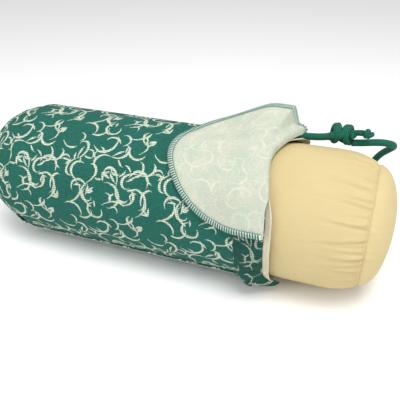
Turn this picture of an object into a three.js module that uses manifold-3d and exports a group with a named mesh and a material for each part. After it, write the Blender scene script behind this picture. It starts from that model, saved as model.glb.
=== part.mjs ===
// A round neck-and-knee bolster, 40 cm by 15 cm: a stuffed cotton inner pillow in a printed
// drawstring cover. The drawstring end is open, a rounded cloth flap is folded back over the
// cover, and the inner pillow stands out of the mouth.
// Millimetres, +Z up. The bolster lies along X with its mouth at +X, and the origin is on the
// floor under the middle of the roll. Angles run round the roll from the front (-Y) up over the top.
import * as THREE from "three";
import { mergeVertices } from "three/addons/utils/BufferGeometryUtils.js";
import Module from "manifold-3d";

const wasm = await Module();
wasm.setup();

// Driving dimensions.
const HALF_LENGTH = 200; // from the middle to each end seam of the pillow
const COVER_RADIUS = 75;
const AXIS_HEIGHT = 70; // less than the radius, because the roll lies on a flat
const CLOTH = 1; // cover cloth
const CASE = 0.8; // inner pillow cloth
const GAP = 0.3; // between pieces that touch
const CORD = 7; // drawstring diameter

// The inner pillow.
const PILLOW_RADIUS = 73;
const SQUEEZED_RADIUS = 69.5; // inside the cover, where the drawstring and cover press on it
const SEAM_RADIUS = 61.5; // where the end panels are sewn on
const SHOULDER = 36; // length over which the roll narrows to its end seam
const SHOULDER_POWER = 2.3; // how late in the shoulder the narrowing comes
const DOME = 27; // how far an end panel bulges past its seam
const PILLOW_LIFT = 9.4; // sets how far the hidden underside clears the drawstring below it
const OPEN_LIFT = 1.4; // the bare underside hangs just clear of the floor
const SWELL = { from: 116, to: 134 }; // past the mouth the pillow swells to its full size
const FILLING_INSET = CASE + 1.9;

// The cover.
const COVER_SEAM_RADIUS = SEAM_RADIUS + 2;
const COVER_END = -(HALF_LENGTH + 2);
const CASING_BACK = 84.3;
const CASING_FRONT = 112.6;
const CASING_INSIDE = 70.2;
const CASING_OUTSIDE = 80.3;
const CASING_SAG = { by: 3, angle: -40, spread: 26 }; // it hangs out at the lower front
const FACING_EDGE = 119;
const OUTLET = { angle: 116, half: 18 }; // of the drawstring, in degrees
const UNDERSIDE_RISE = { by: 8.2, from: 56, to: 84 }; // towards the casing it leaves the floor
const LONG_SEAM = { angle: -48, start: -160, length: 236, width: 5, thick: 0.9 };

// The mouth isn't cut square: it runs on behind, and is drawn back where the flap folds.
const RUN_ON = { by: 11, angle: 124, spread: 26 };
const DRAWN_BACK = { by: 12, angle: 66, spread: 30 };
const SLANT = { from: 62, full: 100, fading: 138, to: 164 }; // the stretch of the roll it slants

// The drawstring's ring in the casing, and the knots. Knots are balls: [along, back, up] radii.
const CORD_RING = { x: 97.5, radius: 74.95, start: 94, turn: 315, steps: 42 };
const KNOT = { x: 160, angle: 117, radius: 84, radii: [10, 10.5, 9.2], lean: 27 };
const SHORT_KNOT = { x: 183.6, angle: 112.6, radius: 87.6, radii: [5, 6, 5.6] };
const LONG_KNOT = { centre: [131.6, 98.6, 6.3], radii: [6, 6.4, 6] };

// The flap.
const FLAP_ANGLE = 62; // its middle, round the roll
const FLAP_LENGTH = 95;
const FLAP_HALF_WIDTH = 74;
const FLAP_STRAIGHT = 24; // side edges run straight this far from the base
const FLAP_BASE_RADIUS = 80.8; // over the casing
const FLAP_REST_RADIUS = 77; // on the cover
const FLAP_CORNER_RISE = 6; // its back corner rides over the drawstring's leads
const FLAP_FOLD = 98.3; // it lifts about a straight line here, just behind its curved base
const OVERLOCK = { width: 5, thick: 2 };
const TIP_POWER = 2.2; // 2 would make the tip half an ellipse
const STRAIGHT_SHARE = 0.2; // of the edge, on each side

const STEPS = 32; // sides of a turned piece
const TUBE_SIDES = 8;
const deg = THREE.MathUtils.degToRad;
const smooth = THREE.MathUtils.smoothstep;

// A smooth hump: { by, angle, spread } says how high, where and how wide.
const hump = (at, angle) => at.by * Math.exp(-(((angle - at.angle) / at.spread) ** 2));

const paint = {
  print: new THREE.MeshStandardMaterial({ color: 0x12765f, roughness: 0.9 }),
  reverse: new THREE.MeshStandardMaterial({ color: 0xd9d6c6, roughness: 0.95 }),
  thread: new THREE.MeshStandardMaterial({ color: 0x5e9a88, roughness: 0.85 }),
  cord: new THREE.MeshStandardMaterial({ color: 0x0b5c48, roughness: 0.85 }),
  calico: new THREE.MeshStandardMaterial({ color: 0xe8d7a0, roughness: 0.92 }),
  filling: new THREE.MeshStandardMaterial({ color: 0xe9e2cf, roughness: 1 }),
};

const bolster = new THREE.Group();

function add(name, geometry, material) {
  const mesh = new THREE.Mesh(geometry, material);
  mesh.name = name;
  bolster.add(mesh);
}

// A point from its place along the roll, its angle round it and its distance from the axis.
function polar(x, angle, radius) {
  const a = deg(angle);
  return new THREE.Vector3(x, -radius * Math.cos(a), AXIS_HEIGHT + radius * Math.sin(a));
}

// Turns a profile of [x, radius] points about the roll's axis, then lets place(x, angle, radius)
// move each vertex. The profile closes on itself, or starts and ends on the axis.
function turned(profile, place) {
  const onAxis = profile[0][1] === 0;
  const points = (onAxis ? profile : [...profile, profile[0]]).map(([x, r]) => new THREE.Vector2(r, x));
  const geometry = new THREE.LatheGeometry(points, STEPS);
  geometry.rotateZ(-Math.PI / 2);
  const at = geometry.getAttribute("position");
  for (let i = 0; i < at.count; i++) {
    const radius = Math.hypot(at.getY(i), at.getZ(i));
    const angle = THREE.MathUtils.radToDeg(Math.atan2(at.getZ(i), -at.getY(i)));
    const even = Math.round(angle * 1e4) / 1e4;
    const p = radius < 1e-6 ? polar(at.getX(i), 0, 0) : place(at.getX(i), even, radius);
    at.setXYZ(i, p.x, p.y, p.z);
  }
  return welded(geometry);
}

// Only positions are kept, and shared vertices are merged, so that the surface is closed.
function welded(geometry) {
  geometry.deleteAttribute("normal");
  geometry.deleteAttribute("uv");
  const whole = mergeVertices(geometry, 1e-3);
  if (solid(whole).volume() > 0) return whole;
  const order = whole.index.array;
  for (let i = 0; i < order.length; i += 3) [order[i + 1], order[i + 2]] = [order[i + 2], order[i + 1]];
  return whole;
}

function solid(geometry) {
  return new wasm.Manifold(
    new wasm.Mesh({
      numProp: 3,
      vertProperties: new Float32Array(geometry.getAttribute("position").array),
      triVerts: new Uint32Array(geometry.index.array),
    }),
  );
}

function fromSolid(made) {
  const mesh = made.getMesh();
  const geometry = new THREE.BufferGeometry();
  geometry.setAttribute("position", new THREE.BufferAttribute(new Float32Array(mesh.vertProperties), 3));
  geometry.setIndex(new THREE.BufferAttribute(new Uint32Array(mesh.triVerts), 1));
  return geometry;
}

// A block of length by width by thickness, bent by place(along, across, up), each measured
// from the block's first corner.
function bent(size, cuts, place) {
  const geometry = new THREE.BoxGeometry(...size, ...cuts);
  geometry.translate(size[0] / 2, size[1] / 2, size[2] / 2);
  const at = geometry.getAttribute("position");
  for (let i = 0; i < at.count; i++) {
    const p = place(at.getX(i), at.getY(i), at.getZ(i));
    at.setXYZ(i, p.x, p.y, p.z);
  }
  return welded(geometry);
}

// A round tube along a smooth curve through the points.
function tube(points, diameter, steps) {
  const section = new THREE.Shape();
  for (let i = 0; i < TUBE_SIDES; i++) {
    const a = (2 * Math.PI * (i + 0.5)) / TUBE_SIDES;
    const [x, y] = [(Math.cos(a) * diameter) / 2, (Math.sin(a) * diameter) / 2];
    if (i) section.lineTo(x, y);
    else section.moveTo(x, y);
  }
  const extrudePath = new THREE.CatmullRomCurve3(points, false, "centripetal");
  const options = { steps, extrudePath, bevelEnabled: false, curveSegments: 1 };
  return welded(new THREE.ExtrudeGeometry(section, options));
}

function ball(centre, radii, turn) {
  const geometry = new THREE.SphereGeometry(1, 14, 10);
  geometry.scale(...radii);
  geometry.rotateX(turn);
  geometry.translate(centre.x, centre.y, centre.z);
  return welded(geometry);
}

// --- How the roll lies ------------------------------------------------------------------------

// Height of the inner pillow's flat underside above the floor.
const swelling = (x) => smooth(x, SWELL.from, SWELL.to);
const pillowLift = (x) => PILLOW_LIFT + (OPEN_LIFT - PILLOW_LIFT) * swelling(x);

// How much the flat shrinks a radius at an angle; 1 all round except underneath.
function shrink(angle, radius, room) {
  const down = -Math.sin(deg(angle));
  return down > 0 ? Math.min(1, room / (radius * down)) : 1;
}

const pillowShrink = (x, angle) => shrink(angle, PILLOW_RADIUS, AXIS_HEIGHT - pillowLift(x));

const mouthShift = (angle) => hump(RUN_ON, angle) - hump(DRAWN_BACK, angle);

// Where a point of the roll goes when the mouth is slanted.
function withMouth(x, angle) {
  const slanted = smooth(x, SLANT.from, SLANT.full) * (1 - smooth(x, SLANT.fading, SLANT.to));
  return x + mouthShift(angle) * slanted;
}

function placePillow(x, angle, radius) {
  return polar(withMouth(x, angle), angle, radius * pillowShrink(x, angle));
}

function placeCover(x, angle, radius) {
  const rise = UNDERSIDE_RISE.by * smooth(x, UNDERSIDE_RISE.from, UNDERSIDE_RISE.to);
  const scale = shrink(angle, COVER_RADIUS, AXIS_HEIGHT - rise);
  return polar(withMouth(x, angle), angle, radius * scale);
}

// The casing is loose, and lies flat on the floor underneath.
function casingRadius(x, angle, radius) {
  const share = (radius - CASING_INSIDE) / (CASING_OUTSIDE - CASING_INSIDE);
  const inside = CASING_INSIDE * pillowShrink(x, angle);
  const loose = CASING_OUTSIDE + hump(CASING_SAG, angle);
  const outside = loose * shrink(angle, loose, AXIS_HEIGHT);
  return inside + share * (outside - inside);
}

function placeCasing(x, angle, radius) {
  return polar(withMouth(x, angle), angle, casingRadius(x, angle, radius));
}

// --- The inner pillow -------------------------------------------------------------------------

// Radius of the stuffed roll at distance x from its middle, out to the end seam.
function rollRadius(x, full, seam) {
  const share = Math.max(0, (Math.abs(x) - (HALF_LENGTH - SHOULDER)) / SHOULDER);
  return full - (full - seam) * share ** SHOULDER_POWER;
}

const SHOULDER_STOPS = [0, 0.4, 0.7, 1];
const nearShoulder = SHOULDER_STOPS.map((s) => HALF_LENGTH - SHOULDER * (1 - s));
const farShoulder = nearShoulder.map((x) => -x).reverse();
const PILLOW_STATIONS = [...farShoulder, 100, 117, 122, 127, 133, 140, ...nearShoulder];

// All that is inside the cover is squeezed to one size, so that it slides out through the mouth.
function pillowRadius(x) {
  const largest = SQUEEZED_RADIUS + (PILLOW_RADIUS - SQUEEZED_RADIUS) * swelling(x);
  return Math.min(rollRadius(x, PILLOW_RADIUS, SEAM_RADIUS), largest);
}

// A roll's wall, as outer points one way and inner points back.
function wall(stations, outer, thick) {
  return [
    ...stations.map((x) => [x, outer(x)]),
    ...[...stations].reverse().map((x) => [x, outer(x) - thick]),
  ];
}

// The arc of a spherical end panel, from its middle out to its rim at radius rim.
function capArc(rim, height, base, direction, count) {
  const sphere = (rim * rim + height * height) / (2 * height);
  const open = Math.asin(rim / sphere);
  const arc = [];
  for (let i = 0; i <= count; i++) {
    const a = (open * i) / count;
    arc.push([base + direction * (height - sphere * (1 - Math.cos(a))), i ? sphere * Math.sin(a) : 0]);
  }
  return arc;
}

function cap(rim, height, base, direction, thick) {
  const outer = capArc(rim, height, base, direction, 3);
  const inner = capArc(rim - thick, height - thick, base, direction, 3).reverse();
  return [...outer, ...inner];
}

// The line of stitching round an end seam, as a ring 1 mm wide on the cloth.
function threadRing(x, seamRadius) {
  const [inner, outer] = [seamRadius + 0.6, seamRadius + 1.3];
  return [
    [x - 0.5, inner],
    [x + 0.5, inner],
    [x + 0.5, outer],
    [x - 0.5, outer],
  ];
}

function pillow() {
  const side = wall(PILLOW_STATIONS, pillowRadius, CASE);
  add("pillow_side_panel", turned(side, placePillow), paint.calico);
  for (const [name, way] of [["near", 1], ["far", -1]]) {
    const end = cap(SEAM_RADIUS - 0.2, DOME, way * (HALF_LENGTH + GAP), way, CASE);
    add(`pillow_${name}_end_panel`, turned(end, placePillow), paint.calico);
    const thread = threadRing(way * (HALF_LENGTH + 0.1), SEAM_RADIUS);
    add(`pillow_${name}_seam_thread`, turned(thread, placePillow), paint.calico);
  }
  const core = [
    ...capArc(SEAM_RADIUS - 2, DOME - 2, -HALF_LENGTH, -1, 3),
    ...PILLOW_STATIONS.slice(1, -1).map((x) => [x, pillowRadius(x) - FILLING_INSET]),
    ...capArc(SEAM_RADIUS - 2, DOME - 2, HALF_LENGTH, 1, 3).reverse(),
  ];
  add("pillow_filling", turned(core, placePillow), paint.filling);
}

// --- The cover --------------------------------------------------------------------------------

function cover() {
  const outer = (x) => rollRadius(Math.min(0, x + 2), COVER_RADIUS, COVER_SEAM_RADIUS);
  const stations = [...farShoulder.map((x) => x - 2), 56, 66, 75, CASING_BACK - GAP];
  add("cover_side_panel", turned(wall(stations, outer, CLOTH), placeCover), paint.print);
  const end = cap(COVER_SEAM_RADIUS - 0.2, DOME + 1, COVER_END - GAP, -1, CLOTH);
  add("cover_end_panel", turned(end, placeCover), paint.print);
  const thread = threadRing(COVER_END - 0.1, COVER_SEAM_RADIUS);
  add("cover_end_seam_thread", turned(thread, placeCover), paint.thread);
  const { angle, start, length, width, thick } = LONG_SEAM;
  const seam = bent([length, width, thick], [10, 2, 1], (along, across, up) => {
    const round = angle + THREE.MathUtils.radToDeg(across / COVER_RADIUS);
    return placeCover(start + along, round, COVER_RADIUS + GAP + up);
  });
  add("cover_side_seam", seam, paint.print);
}

// The casing is a band of the printed cloth, sewn to the mouth and open inside for the cord.
const CASING_SECTION = [
  [CASING_BACK, CASING_INSIDE],
  [CASING_BACK, 75.2],
  [88, 77.4],
  [93, 79.7],
  [98, CASING_OUTSIDE],
  [103.5, 79.7],
  [109, 77.2],
  [CASING_FRONT, 74.6],
  [CASING_FRONT, 72.4],
  [104, 72],
  [103.6, CASING_INSIDE],
];
const TUNNEL_SECTION = [
  [88.4, 71],
  [89.6, 76.6],
  [93.4, 78.7],
  [98, 79.4],
  [103, 78.7],
  [107.6, 76.2],
  [110, 74],
  [103.4, 72.9],
  [102.6, 71],
];
const FACING_SECTION = [
  [104.3, 70.4],
  [104.3, 71.4],
  [112.9, 71.9],
  [FACING_EDGE, 73.4],
  [FACING_EDGE, 72.4],
  [112.9, 70.9],
];

function casing() {
  const band = solid(turned(CASING_SECTION, placeCasing));
  const tunnel = solid(turned(TUNNEL_SECTION, placeCasing));
  // The slot that both ends of the drawstring come out of, at the top of the back.
  const slot = bent([28, 2 * OUTLET.half, 12], [1, 6, 1], (along, across, up) =>
    polar(97 + along, OUTLET.angle - OUTLET.half + across, 71.2 + up),
  );
  add("drawstring_casing", fromSolid(band.subtract(tunnel).subtract(solid(slot))), paint.print);
  add("mouth_facing", turned(FACING_SECTION, placePillow), paint.reverse);
  // The bar of thread that stops the slot from tearing further.
  const binding = bent([7, 3, 0.9], [2, 1, 1], (along, across, up) =>
    polar(withMouth(95, OUTLET.angle) + along, OUTLET.angle + OUTLET.half + 1 + across, 80.7 + up),
  );
  add("outlet_bar_stitch", binding, paint.thread);
}

// --- The drawstring ---------------------------------------------------------------------------

function knot(name, centre, radii, lean) {
  add(name, ball(centre, radii, -deg(lean)), paint.cord);
}

// Both leads leave the outlet side by side and run to the knot on the back of the pillow.
function drawstring() {
  const leadIn = [
    polar(149.6, 112.6, 79.6),
    polar(139, 111.8, 77.4),
    polar(128, 110.8, 77.4),
    polar(116.5, 109.2, 76.6),
    polar(108.5, 104, 75.6),
  ];
  const leadOut = [
    polar(108.5, 128.5, 75.6),
    polar(116.5, 123, 76.6),
    polar(128, 120.4, 77.4),
    polar(139, 119, 77.4),
    polar(149.6, 118.8, 79.6),
  ];
  const ring = [];
  for (let i = 0; i <= CORD_RING.steps; i++) {
    const angle = CORD_RING.start - (i * CORD_RING.turn) / CORD_RING.steps;
    ring.push(placeCasing(CORD_RING.x, angle < -180 ? angle + 360 : angle, CORD_RING.radius));
  }
  add("drawstring_loop", tube([...leadIn, ...ring, ...leadOut], CORD, 66), paint.cord);
  knot("drawstring_knot", polar(KNOT.x, KNOT.angle, KNOT.radius), KNOT.radii, KNOT.lean);

  const shortTail = [polar(170.3, 114, 88), polar(174, 113.4, 88.4), polar(178.3, 113, 88.6)];
  add("drawstring_short_tail", tube(shortTail, CORD * 0.9, 5), paint.cord);
  const end = polar(SHORT_KNOT.x, SHORT_KNOT.angle, SHORT_KNOT.radius);
  knot("short_tail_knot", end, SHORT_KNOT.radii, 0);
}

// The long tail lies along the back of the pillow, turns over its end and hangs down behind to
// the floor, where it runs back beside the roll.
const LONG_TAIL = [
  [170.5, 38, 137.6],
  [178, 40, 137.8],
  [186, 42, 138.4],
  [194, 44, 139],
  [202, 46.5, 138.6],
  [208.5, 51, 136],
  [210.5, 57, 131.4],
  [207, 62.5, 125.4],
  [201.5, 67.5, 118],
  [196.5, 72.5, 108],
  [192.5, 77.5, 94],
  [189.5, 81, 76],
  [187.5, 83.5, 56],
  [186, 86, 36],
  [184.5, 89.5, 19],
  [180, 94.5, 8],
  [171, 99, 4],
  [160, 101.5, 3.8],
  [149, 101.5, 3.8],
  [138, 100, 3.8],
];

function longTail() {
  const points = LONG_TAIL.map((p) => new THREE.Vector3(...p));
  add("drawstring_long_tail", tube(points, CORD, 34), paint.cord);
  knot("long_tail_knot", new THREE.Vector3(...LONG_KNOT.centre), LONG_KNOT.radii, 0);
}

// --- The flap ---------------------------------------------------------------------------------

// Half the flap's width at distance s from its base, inside a margin along its edge.
function flapHalfWidth(s, margin) {
  const share = Math.max(0, s - FLAP_STRAIGHT) / (FLAP_LENGTH - margin - FLAP_STRAIGHT);
  return (FLAP_HALF_WIDTH - margin) * Math.sqrt(1 - share ** TIP_POWER);
}

// The flap's base follows the slanting mouth.
const flapAngle = (t) => FLAP_ANGLE + THREE.MathUtils.radToDeg(t / FLAP_BASE_RADIUS);
const flapBase = (t) => CASING_FRONT - 1 + mouthShift(flapAngle(t)) * 0.98;
const foldDistance = (t) => flapBase(t) - FLAP_FOLD;

// A point on the flap's edge as its distance from the base, its distance across, and how far
// the edge has turned from running lengthways; share goes from one end of the fold to the other.
function flapEdge(share) {
  const side = share < 0.5 ? -1 : 1;
  const along = 2 * Math.min(share, 1 - share);
  if (along < STRAIGHT_SHARE) {
    const start = foldDistance(side * FLAP_HALF_WIDTH);
    const s = start + ((FLAP_STRAIGHT - start) * along) / STRAIGHT_SHARE;
    return { s, t: side * FLAP_HALF_WIDTH, turn: 0, side };
  }
  const turn = ((Math.PI / 2) * (along - STRAIGHT_SHARE)) / (1 - STRAIGHT_SHARE);
  const s = FLAP_STRAIGHT + (FLAP_LENGTH - FLAP_STRAIGHT) * Math.sin(turn) ** (2 / TIP_POWER);
  return { s, t: side * FLAP_HALF_WIDTH * Math.cos(turn), turn, side };
}

// Where the folded-back flap lies: s is the distance from its base, t the distance across it
// towards the back, and up the distance above its underside. Its lower half follows the roll.
// Its upper half leaves the roll and runs straight on, so its back corner stands up.
function flapPoint(s, t, up) {
  const drop = (FLAP_BASE_RADIUS - FLAP_REST_RADIUS) * smooth(s, 26, 44);
  const rise = FLAP_CORNER_RISE * smooth(t, 28, FLAP_HALF_WIDTH);
  const radius = FLAP_BASE_RADIUS - drop + rise + up;
  const leaves = FLAP_HALF_WIDTH - (FLAP_HALF_WIDTH - 15) * smooth(s, 0, 9) + 26 * smooth(s, 30, 98);
  const round = Math.min(t, leaves);
  const straight = t - round;
  const angle = flapAngle(round);
  const p = polar(flapBase(t) - s, angle, radius);
  p.y += straight * Math.sin(deg(angle));
  p.z += straight * Math.cos(deg(angle));
  return p;
}

function flap() {
  const margin = OVERLOCK.width + 5 * GAP;
  const reach = FLAP_LENGTH - margin - 1;
  const panel = bent([1, 2, 1], [12, 12, 1], (along, across, up) => {
    const start = foldDistance((across - 1) * (FLAP_HALF_WIDTH - margin)) + GAP;
    const s = start + along * (reach - start);
    return flapPoint(s, (across - 1) * flapHalfWidth(s, margin), 0.4 + up);
  });
  add("flap_panel", panel, paint.reverse);

  const strip = bent([1, OVERLOCK.width, OVERLOCK.thick], [40, 1, 1], (along, across, up) => {
    const { s, t, turn, side } = flapEdge(along);
    const inward = OVERLOCK.width - across;
    return flapPoint(s + GAP - inward * Math.sin(turn), t - side * inward * Math.cos(turn), up);
  });
  add("flap_overlock", strip, paint.thread);

  // The strip of flap between its base and the fold stays on the mouth.
  const base = bent([1, 2, 1], [4, 16, 1], (along, across, up) => {
    const t = (across - 1) * FLAP_HALF_WIDTH;
    return flapPoint(along * (foldDistance(t) - GAP), t, 0.4 + up);
  });
  add("flap_base", base, paint.reverse);
}

pillow();
cover();
casing();
drawstring();
longTail();
flap();

export default bolster;
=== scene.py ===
"""A stuffed neck-and-knee bolster in its printed drawstring cover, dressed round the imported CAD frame.

The roll lies along X with its mouth at +X. Lengths are in millimetres up to the point where a mesh
is made, and angles run round the roll from the front (-Y) up over the top.
"""
import math
import random
import bpy
import numpy as np
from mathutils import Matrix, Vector
from mathutils.bvhtree import BVHTree


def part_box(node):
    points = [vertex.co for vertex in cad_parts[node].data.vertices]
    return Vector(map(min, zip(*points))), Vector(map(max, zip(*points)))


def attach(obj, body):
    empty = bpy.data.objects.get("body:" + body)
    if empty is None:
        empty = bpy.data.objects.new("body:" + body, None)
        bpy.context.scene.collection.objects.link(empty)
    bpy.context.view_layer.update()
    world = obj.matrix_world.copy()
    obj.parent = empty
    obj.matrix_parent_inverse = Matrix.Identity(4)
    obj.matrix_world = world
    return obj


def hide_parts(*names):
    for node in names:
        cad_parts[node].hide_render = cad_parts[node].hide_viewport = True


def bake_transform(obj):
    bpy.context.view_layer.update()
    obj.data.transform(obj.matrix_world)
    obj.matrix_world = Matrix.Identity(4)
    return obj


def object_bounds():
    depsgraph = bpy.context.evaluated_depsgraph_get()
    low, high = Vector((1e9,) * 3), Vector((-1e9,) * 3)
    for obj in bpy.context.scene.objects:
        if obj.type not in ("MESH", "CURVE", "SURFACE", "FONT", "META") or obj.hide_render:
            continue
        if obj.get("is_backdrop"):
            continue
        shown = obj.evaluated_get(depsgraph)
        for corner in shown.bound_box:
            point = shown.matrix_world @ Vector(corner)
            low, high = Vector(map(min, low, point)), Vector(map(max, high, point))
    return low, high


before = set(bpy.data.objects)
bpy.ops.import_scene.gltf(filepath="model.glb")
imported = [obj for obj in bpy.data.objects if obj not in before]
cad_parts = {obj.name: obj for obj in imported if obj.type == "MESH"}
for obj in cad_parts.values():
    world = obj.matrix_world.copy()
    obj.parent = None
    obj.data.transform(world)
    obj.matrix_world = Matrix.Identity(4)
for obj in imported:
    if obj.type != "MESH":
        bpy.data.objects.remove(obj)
CAD_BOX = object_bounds()

MM = 0.001
bpy.context.scene.view_settings.view_transform = "Standard"


def corners(node):
    """A CAD node's lowest and highest corners, in millimetres."""
    return [np.array(p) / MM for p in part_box(node)]


# Driving sizes, from the frame.
cover_low, cover_high = corners("cover_side_panel")
pillow_low, pillow_high = corners("pillow_side_panel")
COVER_RADIUS = (cover_high[1] - cover_low[1]) / 2
AXIS_HEIGHT = cover_high[2] - COVER_RADIUS
PILLOW_RADIUS = (pillow_high[1] - pillow_low[1]) / 2
HALF_LENGTH = pillow_high[0]
SEAM_RADIUS = (corners("pillow_near_end_panel")[1] - corners("pillow_near_end_panel")[0])[1] / 2
DOME = corners("pillow_near_end_panel")[1][0] - HALF_LENGTH

# Sizes of the sewing, as in the CAD model.
SHOULDER = 36
SQUEEZE = 3.5
COVER_END = -(HALF_LENGTH + 2)
CASING_BACK, CASING_FRONT, FACING_EDGE = 84.3, 112.6, 119
CASING_RIDGE = 80.3
FLAP_ANGLE, FLAP_LENGTH, FLAP_HALF_WIDTH, FLAP_STRAIGHT = 62, 95, 74, 24
FLAP_BASE_RADIUS, FLAP_REST_RADIUS, FLAP_RISE = 80.8, 77, 6
FLAP_FOLD = 98.3
RIM_ROUND = 5  # radius of the flap's roll over the mouth's rim
OVERLOCK_FROM = 8  # how far down the rim its overlock starts
TIP_POWER = 2.2
CORD = 7
SEAM_ANGLE = -48  # where the cover's long seam runs
REPEAT = (105, 2 * math.pi * COVER_RADIUS / 5)  # of the print, along and round the roll


# --- Small mathematics ------------------------------------------------------------------------

def smooth(x, low, high):
    t = np.clip((np.asarray(x, float) - low) / (high - low), 0, 1)
    return t * t * (3 - 2 * t)


def bump(x, middle, width):
    return np.exp(-(((np.asarray(x, float) - middle) / width) ** 2))


def polar(x, angle, radius):
    """Points from their place along the roll, angle in degrees and distance from its axis."""
    x, angle, radius = np.broadcast_arrays(np.asarray(x, float), np.radians(angle), radius)
    return np.stack([x, -radius * np.cos(angle), AXIS_HEIGHT + radius * np.sin(angle)], -1)


def outward_at(angle):
    return polar(0, angle, 1.0) - [0, 0, AXIS_HEIGHT]


def mouth_shift(angle):
    """How far the slanting mouth runs on, or is drawn back, at an angle."""
    return 11 * bump(angle, 124, 26) - 12 * bump(angle, 66, 30)


def with_mouth(x, angle):
    return x + mouth_shift(angle) * smooth(x, 62, 100) * (1 - smooth(x, 138, 164))


def floored(points, height, softness=2.5):
    """Lifts whatever is below a height up to it, with a rounded edge."""
    lifted = points.copy()
    over = (points[..., 2] - height) / softness
    lifted[..., 2] = height + softness * np.logaddexp(0, over)
    return lifted


def ripple(a, b, seed, size, count=5):
    """Smooth unevenness of about unit height over two lengths, with waves near the given size."""
    rng = random.Random(seed)
    total = 0
    for _ in range(count):
        heading, phase = rng.uniform(0, math.tau), rng.uniform(0, math.tau)
        wave = math.tau / (size * rng.uniform(0.7, 1.6))
        total = total + np.sin(wave * (a * math.cos(heading) + b * math.sin(heading)) + phase)
    return total / math.sqrt(count)


def grid(first, second):
    return np.meshgrid(np.asarray(first, float), np.asarray(second, float), indexing="ij")


def stations(*stretches):
    """Values from (start, end, count) stretches that follow on from each other."""
    values = [stretches[0][0]]
    for start, end, count in stretches:
        values += list(np.linspace(start, end, count + 1)[1:])
    return np.array(values)


# --- Making meshes ----------------------------------------------------------------------------

def new_object(name, vertices, faces, cloth=None, material=None):
    """A smooth-shaded object from millimetre points. cloth gives each face's corners on the flat cloth."""
    mesh = bpy.data.meshes.new(name)
    mesh.from_pydata((np.asarray(vertices) * MM).tolist(), [], faces)
    if cloth is not None:
        layer = mesh.uv_layers.new(name="cloth")
        layer.data.foreach_set("uv", np.concatenate([np.asarray(c, float).ravel() for c in cloth]))
    mesh.shade_smooth()
    mesh.update()
    made = bpy.data.objects.new(name, mesh)
    bpy.context.scene.collection.objects.link(made)
    if material:
        mesh.materials.append(material)
    return made


def normals_of(points):
    """Unit normals of a grid of points, by its own neighbours."""
    along = np.gradient(points, axis=0)
    across = np.gradient(points, axis=1)
    normal = np.cross(along, across)
    return normal / np.maximum(np.linalg.norm(normal, axis=-1, keepdims=True), 1e-9)


def cloth_piece(name, points, cloth, material, thick, wrap=False, cap=False, flip=False, inside=None):
    """A cloth of real thickness from a grid of points on its outer face and their flat places.

    A wrapped grid's last column repeats its first. A capped one is closed over its last row.
    inside is the material of the cloth's other face, if it has one of its own.
    """
    normal = normals_of(points)
    if wrap:
        seam = normal[:, 0] + normal[:, -1]
        normal[:, 0] = normal[:, -1] = seam / np.linalg.norm(seam, axis=-1, keepdims=True)
    if flip:
        normal = -normal
    rows, columns = points.shape[:2]
    kept = columns - 1 if wrap else columns
    outer = points[:, :kept].reshape(-1, 3)
    inner = (points - normal * thick)[:, :kept].reshape(-1, 3)
    shift = len(outer)
    faces, flat = [], []

    def put(face, places, turn):
        if turn:
            face, places = face[::-1], places[::-1]
        faces.append(face)
        flat.append(places)

    def index(i, j):
        return i * kept + j % kept

    for i in range(rows - 1):
        for j in range(columns - 1):
            ring = [(i, j), (i + 1, j), (i + 1, j + 1), (i, j + 1)]
            face = [index(*p) for p in ring]
            places = [cloth[p] for p in ring]
            put(face, places, flip)
            put([k + shift for k in face], places, not flip)
    edges = [[((0, j), (0, j + 1)) for j in range(columns - 1)]]
    if not cap:
        edges.append([((rows - 1, j + 1), (rows - 1, j)) for j in range(columns - 1)])
    if not wrap:
        edges.append([((i + 1, 0), (i, 0)) for i in range(rows - 1)])
        edges.append([((i, columns - 1), (i + 1, columns - 1)) for i in range(rows - 1)])
    for edge in edges:
        for p, q in edge:
            face = [index(*p), index(*q), index(*q) + shift, index(*p) + shift]
            put(face, [cloth[p], cloth[q], cloth[q], cloth[p]], flip)
    if cap:
        ring = [(rows - 1, j) for j in range(kept)]
        face = [index(*p) for p in ring]
        places = [cloth[p] for p in ring]
        put(face, places, not flip)
        put([k + shift for k in face], places, flip)
    made = new_object(name, np.vstack([outer, inner]), faces, flat, material)
    if inside:
        made.data.materials.append(inside)
        made.data.polygons.foreach_set("material_index", [int(min(face) >= shift) for face in faces])
    return made


def through(points, step):
    """Even points about a step apart along a smooth curve through the given ones."""
    points = np.asarray(points, float)
    padded = np.vstack([2 * points[0] - points[1], points, 2 * points[-1] - points[-2]])
    path = []
    for a, b, c, d in zip(padded, padded[1:], padded[2:], padded[3:]):
        for t in np.linspace(0, 1, 16, endpoint=False):
            path.append(0.5 * (2 * b + (c - a) * t + (2 * a - 5 * b + 4 * c - d) * t**2
                               + (3 * b - a - 3 * c + d) * t**3))
    path = np.array(path + [points[-1]])
    length = np.concatenate([[0], np.cumsum(np.linalg.norm(np.diff(path, axis=0), axis=1))])
    even = np.linspace(0, length[-1], max(3, round(length[-1] / step) + 1))
    return np.stack([np.interp(even, length, path[:, k]) for k in range(3)], -1)


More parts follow.
